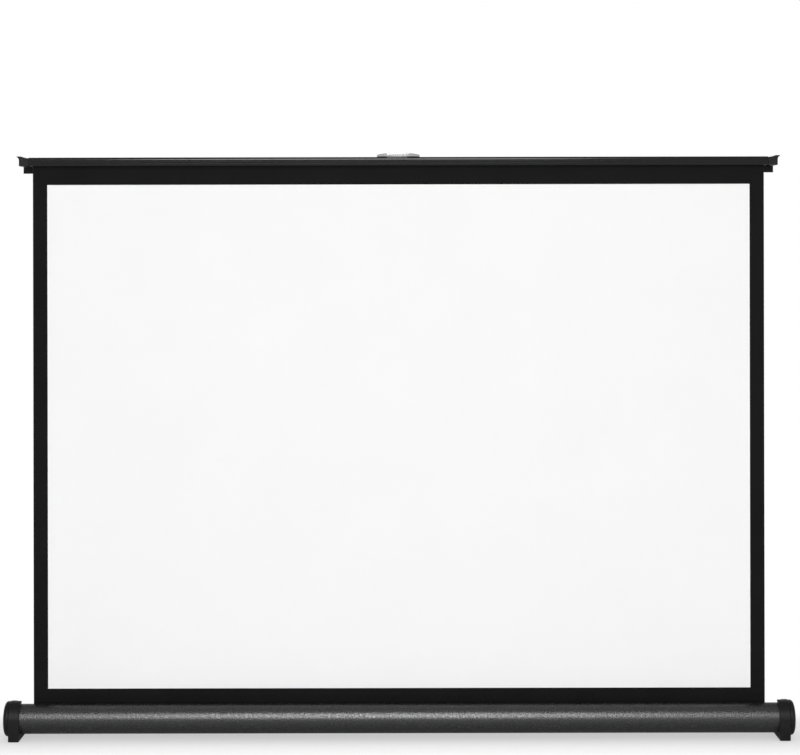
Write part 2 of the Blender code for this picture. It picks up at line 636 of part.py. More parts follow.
def make_bar_end(bar, side):
    """A moulded end with a spigot in the channel, whose top rises to a small lip."""
    above = END_RISE + OVER
    below = -REAR_SKIRT - OVER
    inner_rear = BAR_REAR_Y - SKIRT_WALL
    section = [(BAR_FRONT_Y, -FRONT_SKIRT), (BAR_FRONT_Y, above), (BAR_REAR_Y, above)]
    section += [(BAR_REAR_Y, -REAR_SKIRT), (inner_rear, -REAR_SKIRT), (inner_rear, -FRONT_SKIRT)]
    lip = END_WIDTH + END_LIP
    undercut = arc((lip, END_RISE - END_LIP_EDGE - END_UNDERCUT), END_UNDERCUT, 90, 180, CORNER_STEPS)
    front = [(0, below), (0, -END_DIP), (lip * END_DIP_SHARE, -END_DIP)]
    front += [(lip * END_RISE_SHARE, END_RISE), (lip, END_RISE)]
    front += [(END_WIDTH + END_LIP * (x - lip + END_UNDERCUT) / END_UNDERCUT, z) for x, z in undercut]
    front += [(END_WIDTH, below)]
    middle = END_INNER + lip / 2
    piece = extruded(
        side_name("bar_end", side),
        [section],
        lip + OVER,
        CAP_PLASTIC,
        bar,
        spot(side * middle, 0, BAR_TOP),
        ALONG_X,
    )
    shape = extruded(
        side_name("bar_end_shape", side),
        [[(side * x, z) for x, z in front]],
        BAR_REAR_Y - BAR_FRONT_Y + OVER,
        None,
        bar,
        spot(side * END_INNER, (BAR_FRONT_Y + BAR_REAR_Y) / 2, BAR_TOP),
        ALONG_Y,
    )
    combine(piece, shape, "INTERSECT")
    start = FABRIC_WIDTH / 2 + SPIGOT_CLEAR
    spigot_front = BAR_FRONT_Y + SKIRT_WALL + GAP
    spigot_rear = inner_rear - GAP
    spigot_height = FRONT_SKIRT - BAR_PLATE - GAP
    spigot_z = BAR_TOP - FRONT_SKIRT + spigot_height / 2
    spigot_at = spot(side * (start + END_INNER + GAP) / 2, (spigot_front + spigot_rear) / 2, spigot_z)
    spigot_size = (END_INNER + GAP - start, spigot_rear - spigot_front, spigot_height)
    spigot = box(side_name("bar_end_spigot", side), spigot_size, None, bar, spigot_at)
    combine(piece, spigot, "UNION")


def make_handle(bar, top_bar):
    """The oval grip: a crowned rim on the bar, with two finger wells sunk through its top plate."""
    centre_y = (SUNK_FRONT_Y + SUNK_REAR_Y) / 2
    sunk_half_y = (SUNK_REAR_Y - SUNK_FRONT_Y) / 2
    sunk_half_x = HANDLE_LENGTH / 2 - HANDLE_RIM
    rim = oval(HANDLE_LENGTH / 2, sunk_half_y + HANDLE_RIM, HANDLE_POWER)
    sunk = oval(sunk_half_x, sunk_half_y, HANDLE_POWER)

    def upright(name, outlines, low, high, material):
        middle = spot(0, centre_y, BAR_TOP + (low + high) / 2)
        return extruded(name, outlines, high - low, material, bar, middle, ALONG_Z)

    tall = HANDLE_RISE_MIDDLE + OVER
    handle = upright("handle", [rim], GAP, tall, SILVER)
    rise = HANDLE_RISE_MIDDLE - HANDLE_RISE_END
    crown_radius = (HANDLE_LENGTH**2 / 4 + rise**2) / (2 * rise)
    crown_span = math.degrees(math.asin((HANDLE_LENGTH / 2 + OVER) / crown_radius))
    crown_centre = (0, HANDLE_RISE_MIDDLE - crown_radius)
    crown = arc(crown_centre, crown_radius, 90 + crown_span, 90 - crown_span)
    crown += [(crown[-1][0], tall + OVER), (crown[0][0], tall + OVER)]
    crown_at = spot(0, centre_y, BAR_TOP)
    crown_cut = extruded("handle_crown", [crown], 2 * HANDLE_LENGTH, None, bar, crown_at, ALONG_Y)
    combine(handle, crown_cut, "DIFFERENCE")
    body = upright("handle_body", [sunk], -HANDLE_SINK, HANDLE_RISE_END / 2, None)
    combine(handle, body, "UNION")
    well_half_x = (sunk_half_x - WELL_WALL - WELL_WAIST / 2) / 2
    well_half_y = sunk_half_y - WELL_WALL
    for side in (-1, 1):
        well_x = side * (WELL_WAIST / 2 + well_half_x)
        outline = oval(well_half_x, well_half_y, 2, (well_x, 0))
        well = upright(side_name("handle_well", side), [outline], WELL_WALL - HANDLE_SINK, tall, None)
        combine(handle, well, "DIFFERENCE")
    seat = oval(sunk_half_x + GAP, sunk_half_y + GAP, HANDLE_POWER)
    seat_cut = upright("handle_seat", [seat], -BAR_PLATE - OVER, OVER, None)
    combine(top_bar, seat_cut, "DIFFERENCE")


def make_bar(bar):
    """The bar's extrusion with its ends, its handle and the strip that holds the fabric."""
    length = 2 * (END_INNER - GAP)
    top_bar = extruded("top_bar", [bar_outline()], length, POWDER_COAT, bar, spot(0, 0, BAR_TOP), ALONG_X)
    for side in (-1, 1):
        make_bar_end(bar, side)
    make_handle(bar, top_bar)
    strip_front = BAR_FRONT_Y + SKIRT_WALL + GAP
    strip_rear = BACKING_Y - GAP
    strip_at = spot(0, (strip_front + strip_rear) / 2, STRIP_TOP - STRIP_HEIGHT / 2)
    strip_size = (FABRIC_WIDTH, strip_rear - strip_front, STRIP_HEIGHT)
    box("fabric_strip", strip_size, CAP_PLASTIC, bar, strip_at)


def build():
    base = pivot("base_origin", None, spot(0, 0, 0))
    roller = pivot("roller_axis", base, spot(0, -ROLLER_FORWARD, ROLLER_Z))
    make_housing(base)
    for side in (-1, 1):
        make_end(base, side)
    make_roller(base, roller)
    make_fabric(base)
    bar = make_lattice(base)
    make_bar(bar)


build()
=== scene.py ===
import math

import bmesh
import bpy
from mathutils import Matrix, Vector


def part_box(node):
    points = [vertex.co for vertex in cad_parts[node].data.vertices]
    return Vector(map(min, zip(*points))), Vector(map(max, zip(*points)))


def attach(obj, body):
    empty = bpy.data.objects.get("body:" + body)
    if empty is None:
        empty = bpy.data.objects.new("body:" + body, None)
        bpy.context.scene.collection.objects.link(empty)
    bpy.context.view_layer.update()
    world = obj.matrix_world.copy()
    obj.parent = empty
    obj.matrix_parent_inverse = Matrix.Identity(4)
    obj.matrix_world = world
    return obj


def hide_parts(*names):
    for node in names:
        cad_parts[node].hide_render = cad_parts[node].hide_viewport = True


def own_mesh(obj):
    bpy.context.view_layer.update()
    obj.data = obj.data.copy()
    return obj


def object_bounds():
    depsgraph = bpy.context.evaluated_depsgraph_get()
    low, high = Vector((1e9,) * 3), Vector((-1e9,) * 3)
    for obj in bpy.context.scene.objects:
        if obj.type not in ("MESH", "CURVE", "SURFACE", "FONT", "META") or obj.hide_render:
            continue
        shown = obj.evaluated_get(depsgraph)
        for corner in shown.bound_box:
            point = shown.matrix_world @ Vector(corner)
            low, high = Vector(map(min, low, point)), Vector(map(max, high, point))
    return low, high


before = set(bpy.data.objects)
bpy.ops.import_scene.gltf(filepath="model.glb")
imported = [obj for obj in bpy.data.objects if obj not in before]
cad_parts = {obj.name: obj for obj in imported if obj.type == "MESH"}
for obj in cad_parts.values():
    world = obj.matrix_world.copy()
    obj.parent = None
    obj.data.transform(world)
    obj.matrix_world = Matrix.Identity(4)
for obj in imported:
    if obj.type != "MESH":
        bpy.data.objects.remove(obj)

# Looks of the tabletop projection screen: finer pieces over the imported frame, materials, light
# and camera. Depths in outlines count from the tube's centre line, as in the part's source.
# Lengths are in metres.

CAD_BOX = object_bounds()
SCENE = bpy.context.scene

# Sizes repeated from the part's source
TUBE_Y = -0.0194
TUBE_Z = 0.0232
TUBE_RADIUS = 0.0172
TUBE_LIFT = 0.006
WALL = 0.0015
LIP_RETURN = 0.0005
RIB_FRONT = 0.013
RIB_REAR = 0.0142
RIB_TOP = 0.0245
REAR_CORNER = 0.003
REAR_OUTER = 0.0309
REAR_TOP = 0.0263
CAP_RADIUS = 0.0206
CAP_REAR = 0.0334
CAP_SHOULDER = 0.005
CAP_REAR_TOP = 0.0308
CAP_BOTTOM = 0.0005
HEEL_END = 0.0594
HEEL_HEIGHT = 0.007
HEEL_HOLLOW = 0.008
HEEL_NOSE = 0.004
CAP_INNER = 0.436
POCKET_END = 0.4416
CAP_OUTER = 0.4481
GAP = 0.0003
DISC_RADIUS = 0.020
DISC_EDGE = 0.0035
ROLLER_DEPTH = -0.003
ROLLER_Z = 0.0222
WRAP_INNER = 0.0085
WRAP_OUTER = 0.0094
BAR_TOP = 0.6711
BAR_FRONT = 0.0012
BAR_REAR = 0.0319
BAR_PLATE = 0.002
BAR_EDGE = 0.003
SKIRT_WALL = 0.0018
FRONT_SKIRT = 0.010
REAR_SKIRT = 0.0175
GROOVE_DROPS = (0.0067, 0.0041)
GROOVE = 0.0005
END_INNER = 0.4278
END_WIDTH = 0.0107
END_LIP = 0.0026
END_DIP = 0.0006
END_RISE = 0.0013
END_LIP_EDGE = 0.001
END_UNDERCUT = 0.004
END_DIP_SHARE = 0.3
END_RISE_SHARE = 0.68
SPIGOT_START = 0.42385
HANDLE_DEPTH = 0.01585
HANDLE_LENGTH = 0.050
HANDLE_POWER = 3
HANDLE_RISE_END = 0.003
HANDLE_RISE_MIDDLE = 0.0052
HANDLE_SINK = 0.0072
SUNK_HALF_X = 0.0234
SUNK_HALF_Y = 0.00785
HANDLE_RIM = 0.0016
WELL_WALL = 0.0015
WELL_WAIST = 0.0036

# Finer sizes, which only the scene has
FOOT_FRONT_ROUND = 0.0015
FOOT_REAR_ROUND = 0.0008
CAP_SOFT_EDGE = 0.0006
BAR_END_SOFT_EDGE = 0.0004
DISC_REAR_BEVEL = 0.0003
DISC_FACE = ((0, 0), (0.006, 0.00005), (0.0125, 0.0002), (0.0145, 0.0003),
             (0.0147, 0.0007), (0.0152, 0.0007), (0.0154, 0.0002))  # (radius, drop)
HANDLE_VOXEL = 0.0004
CUT_REACH = 0.006  # how far a cutting shape reaches past the handle or its seat
CLOTH_THICKNESS = 0.00026
WRAP_TURNS = 3
STEPS_PER_TURN = 72
BACKING_GRID = (110, 84)
VIEW_GRID = (106, 76)
RIPPLES = ((0.00012, 31, 4), (0.0001, 13, -7))  # (height, radians per metre, radians up the height)

# Lowest and highest point of the two cloths when the screen is closed
FOLDED_BACKING = (0.0222, 0.042)
FOLDED_VIEW = (0.027, 0.035)


# Mesh helpers

def arc(centre, radius, start, end, steps):
    """Points along a circular arc, both ends included, between two angles in degrees."""
    points = []
    for i in range(steps + 1):
        angle = math.radians(start + (end - start) * i / steps)
        points.append((centre[0] + radius * math.cos(angle), centre[1] + radius * math.sin(angle)))
    return points


def oval(half_x, half_y, power, centre_x=0.0, steps=96):
    """An ellipse at power 2, squarer above it."""
    points = []
    for i in range(steps):
        c = math.cos(2 * math.pi * i / steps)
        s = math.sin(2 * math.pi * i / steps)
        x = half_x * math.copysign(abs(c) ** (2 / power), c)
        y = half_y * math.copysign(abs(s) ** (2 / power), s)
        points.append((centre_x + x, y))
    return points


def rounded(corners, steps=4):
    """An outline with its corners rounded. A corner is (a, b), or (a, b, radius)."""
    points = []
    for i, corner in enumerate(corners):
        here = Vector(corner[:2])
        if len(corner) == 2:
            points.append(tuple(here))
            continue
        before = (Vector(corners[i - 1][:2]) - here).normalized()
        after = (Vector(corners[(i + 1) % len(corners)][:2]) - here).normalized()
        half = before.angle(after) / 2
        centre = here + (before + after).normalized() * (corner[2] / math.sin(half))
        start = here + before * (corner[2] / math.tan(half)) - centre
        end = here + after * (corner[2] / math.tan(half)) - centre
        turn = math.atan2(start.x * end.y - start.y * end.x, start.dot(end))
        first = math.degrees(math.atan2(start.y, start.x))
        points += arc(centre, corner[2], first, first + math.degrees(turn), steps)
    return points


def loop(bm, points):
    return [bm.verts.new(point) for point in points]


def skin(bm, first, second, closed=True):
    """Quads between two loops of equal length."""
    for i in range(0 if closed else 1, len(first)):
        bm.faces.new((first[i - 1], first[i], second[i], second[i - 1]))


def prism(first, second):
    """A solid between two outlines of equal length."""
    bm = bmesh.new()
    ends = [loop(bm, first), loop(bm, second)]
    skin(bm, *ends)
    for end in ends:
        bm.faces.new(end)
    return bm


def along_x(outline, low, high):
    """An outline of (depth, z) points drawn out along the tube."""
    return prism(*([(x, TUBE_Y + depth, z) for depth, z in outline] for x in (low, high)))


def along_y(outline, low, high):
    """An outline of (x, z) points drawn out in depth."""
    return prism(*([(x, TUBE_Y + depth, z) for x, z in outline] for depth in (low, high)))


def along_z(outline, depth, low, high):
    """An outline of (x, y) points about a depth, drawn out upwards."""
    return prism(*([(x, TUBE_Y + depth + y, z) for x, y in outline] for z in (low, high)))


def lathe(profile, place, steps):
    """A profile of (radius, along) points turned about an axis. place(along, a, b) is a point."""
    bm = bmesh.new()
    turns = [2 * math.pi * i / steps for i in range(steps)]
    rings = []
    for radius, along in profile:
        if radius == 0:
            rings.append([bm.verts.new(place(along, 0, 0))] * steps)
            continue
        circle = [(radius * math.cos(t), radius * math.sin(t)) for t in turns]
        rings.append(loop(bm, [place(along, a, b) for a, b in circle]))
    for first, second in zip(rings, rings[1:]):
        for i in range(steps):
            corners = (first[i - 1], first[i], second[i], second[i - 1])
            bm.faces.new(dict.fromkeys(corners))
    return bm


def settle(name, bm, material, body, nodes=(), sharp=32):
    """Makes a piece of the mesh, in the place of the named nodes, moving with a body."""
    bmesh.ops.recalc_face_normals(bm, faces=bm.faces)
    mesh = bpy.data.meshes.new(name)
    bm.to_mesh(mesh)
    bm.free()
    mesh.shade_smooth()
    mesh.set_sharp_from_angle(angle=math.radians(sharp))
    mesh.materials.append(material)
    obj = bpy.data.objects.new(name, mesh)
    SCENE.collection.objects.link(obj)
    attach(obj, body)
    if nodes:
        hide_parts(*nodes)
    return obj


def soften(obj, width, segments=3, angle=38):
    """Rounds the sharp edges of a piece."""
    bevel = obj.modifiers.new("soften", "BEVEL")
    bevel.width = width
    bevel.segments = segments
    bevel.limit_method = "ANGLE"
    bevel.angle_limit = math.radians(angle)
    bevel.use_clamp_overlap = False
    bevel.harden_normals = True


def even(obj):
    """Keeps flat faces flat in shading, beside their rounded edges."""
    normals = obj.modifiers.new("even", "WEIGHTED_NORMAL")
    normals.keep_sharp = True
    normals.weight = 100


def carve(bm, steps):
    """Cuts or joins meshes into one. steps are (operation, mesh) pairs."""
    def scratch(mesh_data):
        bmesh.ops.recalc_face_normals(mesh_data, faces=mesh_data.faces)
        mesh = bpy.data.meshes.new("scratch")
        mesh_data.to_mesh(mesh)
        mesh_data.free()
        obj = bpy.data.objects.new("scratch", mesh)
        SCENE.collection.objects.link(obj)
        return obj

    main = scratch(bm)
    others = []
    for operation, other in steps:
        others.append(scratch(other))
        modifier = main.modifiers.new("carve", "BOOLEAN")
        modifier.operation = operation
        modifier.object = others[-1]
        modifier.solver = "EXACT"
    result = evaluated(main)
    for obj in (main, *others):
        bpy.data.objects.remove(obj)
    return result


def evaluated(obj):
    """The mesh of an object with its modifiers applied."""
    graph = bpy.context.evaluated_depsgraph_get()
    mesh = bpy.data.meshes.new_from_object(obj.evaluated_get(graph))
    bm = bmesh.new()
    bm.from_mesh(mesh)
    bpy.data.meshes.remove(mesh)
    return bm


# Materials

class Finish:
    """A procedural material and the nodes that feed its Principled shader."""

    def __init__(self, name, **sockets):
        self.material = bpy.data.materials.new(name)
        self.material.use_nodes = True
        self.tree = self.material.node_tree
        self.shader = self.tree.nodes["Principled BSDF"]
        for socket, value in sockets.items():
            self.shader.inputs[socket.replace("_", " ")].default_value = value
        self.coordinates = self.add("TexCoord").outputs["Object"]

    def add(self, kind, inputs=(), **settings):
        node = self.tree.nodes.new("ShaderNode" + kind)
        for key, value in settings.items():
            setattr(node, key, value)
        for key, value in dict(inputs).items():
            if isinstance(value, bpy.types.NodeSocket):
                self.tree.links.new(value, node.inputs[key])
            else:
                node.inputs[key].default_value = value
        return node

    def stretched(self, scale):
        return self.add("Mapping", {"Vector": self.coordinates, "Scale": scale}).outputs[0]

    def noise(self, scale, detail=2.0, stretch=(1, 1, 1)):
        inputs = {"Vector": self.stretched(stretch), "Scale": scale, "Detail": detail}
        return self.add("TexNoise", inputs).outputs[0]

    def weave(self, pitch):
        """A plain weave in the X-Z plane: two crossing waves."""
        waves = []
        for direction in ("X", "Z"):
            inputs = {"Vector": self.coordinates, "Scale": math.tau / pitch / 20, "Distortion": 0.4}
            waves.append(self.add("TexWave", inputs, bands_direction=direction).outputs["Fac"])
        return self.add("Math", {0: waves[0], 1: waves[1]}, operation="MULTIPLY").outputs[0]

    def span(self, value, low, high, to_low, to_high):
        inputs = {"Value": value, "From Min": low, "From Max": high}
        inputs.update({"To Min": to_low, "To Max": to_high})
        return self.add("MapRange", inputs).outputs[0]

    def across(self, noise, to_low, to_high):
        """Maps the range that a noise mostly stays in."""
        return self.span(noise, 0.3, 0.7, to_low, to_high)

    def blend(self, factor, low, high):
        """A colour between two, by a factor from 0 to 1."""
        ramp = self.add("ValToRGB", {"Fac": factor})
        ramp.color_ramp.elements[0].color = (*low, 1)
        ramp.color_ramp.elements[1].color = (*high, 1)
        return ramp.outputs[0]

    def edges(self, radius, low=0.85, high=0.995):
        """A factor that rises towards 1 along a piece's edges."""
        bevel = self.add("Bevel", {"Radius": radius}, samples=4).outputs[0]
        normal = self.add("NewGeometry").outputs["Normal"]
        cosine = self.add("VectorMath", {0: bevel, 1: normal}, operation="DOT_PRODUCT")
        return self.span(cosine.outputs["Value"], high, low, 0, 1)

    def mix(self, factor, first, second):
        node = self.add("Mix", data_type="RGBA")
        for index, value in ((0, factor), (6, first), (7, second)):
            if isinstance(value, bpy.types.NodeSocket):
                self.tree.links.new(value, node.inputs[index])
            else:
                node.inputs[index].default_value = (*value, 1)
        return node.outputs[2]

    def times(self, first, second):
        return self.add("Math", {0: first, 1: second}, operation="MULTIPLY").outputs[0]

    def set(self, socket, value):
        self.tree.links.new(value, self.shader.inputs[socket])

    def bump(self, *layers):
        """Layers of (height, depth in metres), one on the other."""
        normal = None
        for height, depth in layers:
            inputs = {"Height": height, "Distance": depth, "Strength": 1.0}
            if normal:
                inputs["Normal"] = normal
            normal = self.add("Bump", inputs).outputs[0]
        self.set("Normal", normal)


def powder_coat():
    f = Finish("black_powder_coat", Specular_IOR_Level=0.5)
    grain = f.noise(880, 2)
    tint = f.across(grain, 0, 1)
    f.set("Base Color", f.blend(tint, (0.008, 0.0082, 0.0087), (0.012, 0.0122, 0.0128)))
    f.set("Roughness", f.span(grain, 0.36, 0.62, 0.15, 0.44))
    f.bump((grain, 0.00017), (f.noise(2400, 2), 0.00002))
    return f.material


def satin_black():
    f = Finish("satin_black_bar", Specular_IOR_Level=0.2)
    lines = f.noise(900, 2, (0.02, 1, 1))
    worn = f.times(f.edges(0.0006), f.noise(260, 3))
    body = f.blend(f.noise(55, 2), (0.0035, 0.0036, 0.0038), (0.006, 0.0061, 0.0064))
    f.set("Base Color", f.mix(worn, body, (0.014, 0.014, 0.0145)))
    f.set("Roughness", f.across(lines, 0.12, 0.15))
    f.bump((f.noise(2600, 2), 0.000003), (lines, 0.000002))
    return f.material


def cap_plastic():
    f = Finish("moulded_black_plastic", Specular_IOR_Level=0.1, Sheen_Weight=0.06,
               Sheen_Roughness=0.3)
    grain = f.noise(3000, 2)
    cloud = f.noise(60, 3)
    worn = f.times(f.edges(0.0007), f.noise(420, 3))
    body = f.blend(cloud, (0.008, 0.008, 0.0083), (0.012, 0.012, 0.0124))
    f.set("Base Color", f.mix(worn, body, (0.03, 0.03, 0.031)))
    f.set("Roughness", f.across(cloud, 0.34, 0.44))
    f.bump((grain, 0.000015))
    return f.material


def white_fabric():
    f = Finish("white_screen_fabric", Specular_IOR_Level=0.25, Sheen_Weight=0.04)
    weave = f.weave(0.0006)
    cloud = f.noise(9, 3)
    tint = f.across(cloud, 0, 1)
    f.set("Base Color", f.blend(tint, (0.899, 0.899, 0.897), (0.911, 0.911, 0.910)))
    f.set("Roughness", f.span(weave, 0, 1, 0.78, 0.9))
    f.bump((weave, 0.00001), (f.noise(2200, 2), 0.00001))
    return f.material


def black_fabric():
    f = Finish("black_screen_fabric", Specular_IOR_Level=0.04, Sheen_Weight=0.008)
    weave = f.weave(0.0007)
    cloud = f.noise(18, 3)
    light = f.times(f.across(cloud, 0.6, 1), f.span(weave, 0, 1, 0.55, 1))
    f.set("Base Color", f.blend(light, (0.004, 0.004, 0.0043), (0.010, 0.010, 0.0105)))
    f.set("Roughness", f.span(weave, 0, 1, 0.62, 0.8))
    f.bump((weave, 0.00004), (f.noise(1500, 2), 0.00002))
    return f.material


def arm_steel():
    f = Finish("black_oxide_steel", Metallic=0.85)
    grain = f.noise(420, 4)
    scuffs = f.span(f.noise(650, 5), 0.6, 0.75, 0, 1)
    worn = f.times(f.edges(0.0005), f.noise(300, 3))
    body = f.blend(grain, (0.03, 0.03, 0.032), (0.062, 0.062, 0.066))
    scuffed = f.mix(f.times(scuffs, 0.5), body, (0.11, 0.11, 0.112))
    f.set("Base Color", f.mix(worn, scuffed, (0.3, 0.3, 0.3)))
    f.set("Roughness", f.across(grain, 0.34, 0.5))
    f.bump((f.noise(1800, 2), 0.000015))
    return f.material


def pin_steel():
    f = Finish("zinc_plated_steel", Metallic=1.0)
    spots = f.noise(700, 3)
    f.set("Base Color", f.blend(spots, (0.5, 0.505, 0.52), (0.68, 0.675, 0.66)))
    f.set("Roughness", f.across(spots, 0.22, 0.38))
    f.bump((f.noise(2600, 2), 0.00001))
    return f.material


def silver():
    f = Finish("silver_handle", Metallic=1.0)
    cloud = f.noise(130, 3)
    f.set("Base Color", f.blend(cloud, (0.34, 0.34, 0.345), (0.44, 0.44, 0.445)))
    f.set("Roughness", f.across(f.noise(1700, 2, (0.2, 1, 1)), 0.12, 0.2))
    f.bump((f.noise(2400, 2), 0.000004))
    return f.material


def roller_metal():
    f = Finish("drawn_aluminium", Metallic=1.0)
    lines = f.noise(1400, 3, (0.01, 1, 1))
    f.set("Base Color", f.blend(lines, (0.52, 0.52, 0.535), (0.7, 0.7, 0.71)))
    f.set("Roughness", f.across(lines, 0.32, 0.46))
    f.bump((lines, 0.00001))
    return f.material


def nylon():
    f = Finish("natural_nylon", Specular_IOR_Level=0.45, Subsurface_Weight=0.1,
               Subsurface_Scale=0.001)
    cloud = f.noise(400, 3)
    f.set("Base Color", f.blend(cloud, (0.62, 0.60, 0.54), (0.74, 0.72, 0.67)))
    f.set("Roughness", f.across(cloud, 0.4, 0.55))
    f.bump((f.noise(2200, 2), 0.00001))
    return f.material


def rubber():
    f = Finish("foot_rubber", Specular_IOR_Level=0.2)
    grain = f.noise(2000, 3)
    f.set("Base Color", f.blend(grain, (0.009, 0.009, 0.009), (0.02, 0.02, 0.02)))
    f.set("Roughness", f.across(grain, 0.75, 0.92))
    f.bump((grain, 0.00005))
    return f.material


POWDER_COAT = powder_coat()
SATIN_BLACK = satin_black()
CAP_PLASTIC = cap_plastic()
WHITE_FABRIC = white_fabric()
BLACK_FABRIC = black_fabric()
ARM_STEEL = arm_steel()
PIN_STEEL = pin_steel()
SILVER = silver()
ROLLER_METAL = roller_metal()
NYLON = nylon()
RUBBER = rubber()


# Base

def make_housing():
    """The tube's section: round front, open top, straight rear wall and a rib between two bays."""
    lip, rim, rib, root = 0.0004, 0.0006, 0.0005, 0.001  # corner radii
    floor = TUBE_LIFT + WALL
    corner = (REAR_OUTER - REAR_CORNER, TUBE_LIFT + REAR_CORNER)
    top = TUBE_Z + TUBE_RADIUS
    corners = [(LIP_RETURN, top, lip)]
    corners += arc((0, TUBE_Z), TUBE_RADIUS, 90, 270, 96)
    corners += arc(corner, REAR_CORNER, -90, 0, 12)
    corners += [(REAR_OUTER, REAR_TOP, rim), (REAR_OUTER - WALL, REAR_TOP, rim)]
    corners += arc(corner, REAR_CORNER - WALL, 0, -90, 8)
    corners += [(RIB_REAR, floor, root), (RIB_REAR, RIB_TOP, rib)]
    corners += [(RIB_FRONT, RIB_TOP, rib), (RIB_FRONT, floor)]
    corners += arc((0, TUBE_Z), TUBE_RADIUS - WALL, 270, 90, 64)
    corners += [(LIP_RETURN, top - WALL, lip)]
    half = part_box("housing")[1][0]
    bm = along_x(rounded(corners), -half, half)
    even(settle("housing_shell", bm, POWDER_COAT, "base", ["housing"]))


def make_cap(side, word):
    """A moulded cap: a plate whose front and foot reach in over the tube's end."""
    crest = math.degrees(math.acos(LIP_RETURN / CAP_RADIUS))
    shared = arc((0, TUBE_Z), CAP_RADIUS, crest, 180, 40)
    toe = (FOOT_FRONT_ROUND - CAP_RADIUS, CAP_BOTTOM + FOOT_FRONT_ROUND)
    shared += arc(toe, FOOT_FRONT_ROUND, 180, 270, 6)
    heel = (HEEL_END - FOOT_REAR_ROUND, CAP_BOTTOM + FOOT_REAR_ROUND)
    shared += arc(heel, FOOT_REAR_ROUND, 270, 360, 4)
    shared += arc((HEEL_END - HEEL_NOSE, HEEL_HEIGHT - HEEL_NOSE), HEEL_NOSE, 0, 90, 10)
    shared += arc((CAP_REAR + HEEL_HOLLOW, HEEL_HEIGHT + HEEL_HOLLOW), HEEL_HOLLOW, 270, 180, 14)
    shoulder = Vector((CAP_REAR - CAP_SHOULDER, CAP_REAR_TOP - CAP_SHOULDER))
    lean = math.degrees(math.asin((REAR_TOP - shoulder.y) / CAP_SHOULDER))
    shared += arc(shoulder, CAP_SHOULDER, 0, lean, 1)
    apart = shoulder - Vector((0, TUBE_Z))
    fall = math.atan2(apart.y, apart.x) + math.acos((CAP_RADIUS - CAP_SHOULDER) / apart.length)
    plate = arc(shoulder, CAP_SHOULDER, lean, math.degrees(fall), 12)[1:]
    plate += arc((0, TUBE_Z), CAP_RADIUS, math.degrees(fall), crest, 12)[:-1]
    corner = (REAR_OUTER - REAR_CORNER, TUBE_LIFT + REAR_CORNER)
    pocket = [(REAR_OUTER + GAP, REAR_TOP)]
    pocket += arc(corner, REAR_CORNER + GAP, 0, -90, 8)
    pocket += arc((0, TUBE_Z), TUBE_RADIUS + GAP, 270, 90, 64)
    pocket += [(LIP_RETURN, TUBE_Z + TUBE_RADIUS + GAP)]
    bm = bmesh.new()

    def ring(x, path):
        return loop(bm, [(side * x, TUBE_Y + depth, z) for depth, z in path])

    inner, middle, outer = (ring(x, shared) for x in (CAP_INNER, POCKET_END, CAP_OUTER))
    skin(bm, inner, middle, False)
    skin(bm, middle, outer, False)
    plate_in, plate_out = (ring(x, plate) for x in (POCKET_END, CAP_OUTER))
    skin(bm, [middle[-1], *plate_in, middle[0]], [outer[-1], *plate_out, outer[0]], False)
    pocket_in, pocket_mid = (ring(x, pocket) for x in (CAP_INNER, POCKET_END))
    skin(bm, [inner[-1], *pocket_in, inner[0]], [middle[-1], *pocket_mid, middle[0]], False)
    bm.faces.new(outer + plate_out)
    bm.faces.new(inner + pocket_in)
    bm.faces.new([middle[-1], *plate_in, middle[0], *reversed(pocket_mid)])
    cap = settle("cap_moulding_" + word, bm, CAP_PLASTIC, "base",
                 ["end_cap_" + word])
    soften(cap, CAP_SOFT_EDGE)


def make_disc(side, word):
    """A slightly crowned cover disc with a shallow ring in its face."""
    low, high = sorted(abs(corner[0]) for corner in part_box("end_disc_" + word))
    profile = [(radius, high - drop) for radius, drop in DISC_FACE]
    profile += arc((DISC_RADIUS - DISC_EDGE, high - DISC_EDGE), DISC_EDGE, 84, 0, 10)
    profile += [(DISC_RADIUS, low + DISC_REAR_BEVEL), (DISC_RADIUS - DISC_REAR_BEVEL, low)]
    profile += [(0, low)]

    def place(along, a, b):
        return (side * along, TUBE_Y + a, TUBE_Z + b)

    disc = settle("cover_disc_" + word, lathe(profile, place, 96), CAP_PLASTIC, "base",
                  ["end_disc_" + word])
    even(disc)


# Fabric

def ripple(x, share):
    """How far tensioned fabric stands off its plane, across the width and up the height."""
    held = math.sin(math.pi * min(max(share, 0), 1))
    return held * sum(height * math.sin(wide * x + tall * share) for height, wide, tall in RIPPLES)


def sheet_mesh(box, columns, rows, bottom, top):
    """A thin sheet between the faces of a box, with the same slight ripple on both sides."""
    low, high = box
    bm = bmesh.new()

    def layer(y):
        grid = []
        for j in range(rows + 1):
            z = low[2] + (high[2] - low[2]) * j / rows
            line = []
            for i in range(columns + 1):
                x = low[0] + (high[0] - low[0]) * i / columns
                line.append(bm.verts.new((x, y + ripple(x, (z - bottom) / (top - bottom)), z)))
            grid.append(line)
        return grid

    front, rear = layer(low[1]), layer(high[1])
    for grid in (front, rear):
        for first, second in zip(grid, grid[1:]):
            skin(bm, first, second, False)
    for pick in ((0, None), (-1, None), (None, 0), (None, -1)):
        edges = []
        for grid in (front, rear):
            edges.append(grid[pick[0]] if pick[1] is None else [line[pick[1]] for line in grid])
        skin(bm, *edges, False)
    return bm


